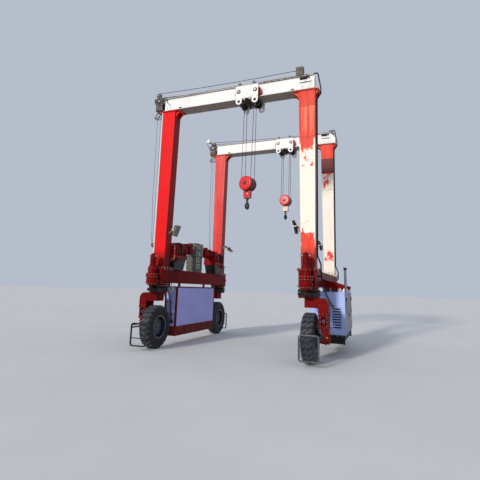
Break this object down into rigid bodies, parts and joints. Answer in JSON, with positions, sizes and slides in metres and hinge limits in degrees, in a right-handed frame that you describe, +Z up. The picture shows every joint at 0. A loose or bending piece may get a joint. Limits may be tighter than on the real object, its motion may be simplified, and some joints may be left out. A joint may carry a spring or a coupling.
{
  "type": "mobile gantry crane",
  "caption": "Rubber-tyred mobile gantry crane: white top beams on tapered legs, steered wheels, trolleys with hook blocks, rope winches and a power pack.",
  "frame": {"origin": "on the ground, midway between the four wheels", "axes": "+X across the span towards the power pack, +Y along the travel direction away from the front wheels, +Z up"},
  "size_m": [6.0115, 5.835, 8.195],
  "materials": {
    "white_paint": "white gloss paint, lightly weathered",
    "red_paint": "red gloss paint with grime",
    "worn_leg_paint": "red over cream paint, faded and rubbed through",
    "tyre_rubber": "dusty black rubber",
    "rim_grey": "dark grey paint",
    "black_steel": "black, greasy",
    "greased_drum": "dark greased steel",
    "grey_tank": "grey paint",
    "engine_grey": "dull grey",
    "exhaust_steel": "dull steel",
    "rubber_hose": "black rubber hose and cable",
    "lamp_housing": "dark cast housing"
  },
  "bodies": {
    "root": {"front_beam": "white_paint", "rear_beam": "white_paint", "front_left_leg": "red_paint", "front_right_leg": "worn_leg_paint", "rear_left_leg": "red_paint", "rear_right_leg": "worn_leg_paint", "left_side_beam": "red_paint", "right_side_beam": "red_paint", "steering_drives": "red_paint", "winch_frames": "red_paint", "winch_drums": "greased_drum", "winch_motors": "red_paint", "tank_stack": "grey_tank", "beam_end_pulleys": "black_steel", "power_pack_base": "black_steel", "power_pack_shell": "white_paint", "engine_block": "engine_grey", "exhaust": "exhaust_steel", "power_pack_carriers": "red_paint", "left_cabinet_frame": "red_paint", "left_cabinet_panels": "white_paint", "floodlights": "lamp_housing", "slewing_seats": "black_steel", "winch_pedestals": "black_steel", "hoses": "rubber_hose"},
    "front_left_bogie": {"front_left_slew_ring": "black_steel", "front_left_knuckle": "red_paint", "front_left_wheel_guard": "black_steel"},
    "front_left_wheel": {"front_left_rim": "rim_grey", "front_left_tyre": "tyre_rubber"},
    "front_right_bogie": {"front_right_slew_ring": "black_steel", "front_right_knuckle": "red_paint", "front_right_wheel_guard": "black_steel"},
    "front_right_wheel": {"front_right_rim": "rim_grey", "front_right_tyre": "tyre_rubber"},
    "rear_left_bogie": {"rear_left_slew_ring": "black_steel", "rear_left_knuckle": "red_paint", "rear_left_wheel_guard": "black_steel"},
    "rear_left_wheel": {"rear_left_rim": "rim_grey", "rear_left_tyre": "tyre_rubber"},
    "rear_right_bogie": {"rear_right_slew_ring": "black_steel", "rear_right_knuckle": "red_paint", "rear_right_wheel_guard": "black_steel"},
    "rear_right_wheel": {"rear_right_rim": "rim_grey", "rear_right_tyre": "tyre_rubber"},
    "front_trolley": {"front_trolley_frame": "white_paint", "front_trolley_wheels": "red_paint", "front_trolley_sheaves": "black_steel"},
    "front_hoist": {"front_hook_block": "red_paint"},
    "front_load_hook": {"front_hook": "black_steel"},
    "rear_trolley": {"rear_trolley_frame": "white_paint", "rear_trolley_wheels": "red_paint", "rear_trolley_sheaves": "black_steel"},
    "rear_hoist": {"rear_hook_block": "red_paint"},
    "rear_load_hook": {"rear_hook": "black_steel"},
    "front_door": {"power_pack_front_door": "white_paint"},
    "rear_door": {"power_pack_rear_door": "white_paint"}
  },
  "joints": [
    {"name": "front_left_steer", "type": "hinge", "parent": "root", "child": "front_left_bogie", "pos_m": [-2.25, -2.2, 1.7], "axis": [0, 0, 1], "range_deg": [-90, 90]},
    {"name": "front_left_wheel_spin", "type": "hinge", "parent": "front_left_bogie", "child": "front_left_wheel", "pos_m": [-2.278, -2.2, 0.613], "axis": [1, 0, 0], "continuous": true},
    {"name": "front_right_steer", "type": "hinge", "parent": "root", "child": "front_right_bogie", "pos_m": [2.25, -2.2, 1.7], "axis": [0, 0, 1], "range_deg": [-90, 90]},
    {"name": "front_right_wheel_spin", "type": "hinge", "parent": "front_right_bogie", "child": "front_right_wheel", "pos_m": [2.278, -2.2, 0.613], "axis": [1, 0, 0], "continuous": true},
    {"name": "rear_left_steer", "type": "hinge", "parent": "root", "child": "rear_left_bogie", "pos_m": [-2.25, 2.2, 1.7], "axis": [0, 0, -1], "range_deg": [-90, 90]},
    {"name": "rear_left_wheel_spin", "type": "hinge", "parent": "rear_left_bogie", "child": "rear_left_wheel", "pos_m": [-2.278, 2.2, 0.613], "axis": [1, 0, 0], "continuous": true},
    {"name": "rear_right_steer", "type": "hinge", "parent": "root", "child": "rear_right_bogie", "pos_m": [2.25, 2.2, 1.7], "axis": [0, 0, -1], "range_deg": [-90, 90]},
    {"name": "rear_right_wheel_spin", "type": "hinge", "parent": "rear_right_bogie", "child": "rear_right_wheel", "pos_m": [2.278, 2.2, 0.613], "axis": [1, 0, 0], "continuous": true},
    {"name": "front_trolley_travel", "type": "slide", "parent": "root", "child": "front_trolley", "axis": [1, 0, 0], "range_m": [-1.9, 0.9]},
    {"name": "front_hoist_lift", "type": "slide", "parent": "front_trolley", "child": "front_hoist", "axis": [0, 0, 1], "range_m": [-3.7, 2]},
    {"name": "front_hook_swivel", "type": "hinge", "parent": "front_hoist", "child": "front_load_hook", "pos_m": [0.474, -2.125, 4.375], "axis": [0, 0, 1], "continuous": true},
    {"name": "rear_trolley_travel", "type": "slide", "parent": "root", "child": "rear_trolley", "axis": [1, 0, 0], "range_m": [-2.01, 0.79]},
    {"name": "rear_hoist_lift", "type": "slide", "parent": "rear_trolley", "child": "rear_hoist", "axis": [0, 0, 1], "range_m": [-4.15, 1.5]},
    {"name": "rear_hook_swivel", "type": "hinge", "parent": "rear_hoist", "child": "rear_load_hook", "pos_m": [0.58, 2.125, 4.85], "axis": [0, 0, 1], "continuous": true},
    {"name": "front_door_hinge", "type": "hinge", "parent": "root", "child": "front_door", "pos_m": [3.056, -1.15, 1.18], "axis": [0, 0, 1], "range_deg": [-110, 0]},
    {"name": "rear_door_hinge", "type": "hinge", "parent": "root", "child": "rear_door", "pos_m": [3.056, 1.15, 1.18], "axis": [0, 0, 1], "range_deg": [0, 110]}
  ]
}
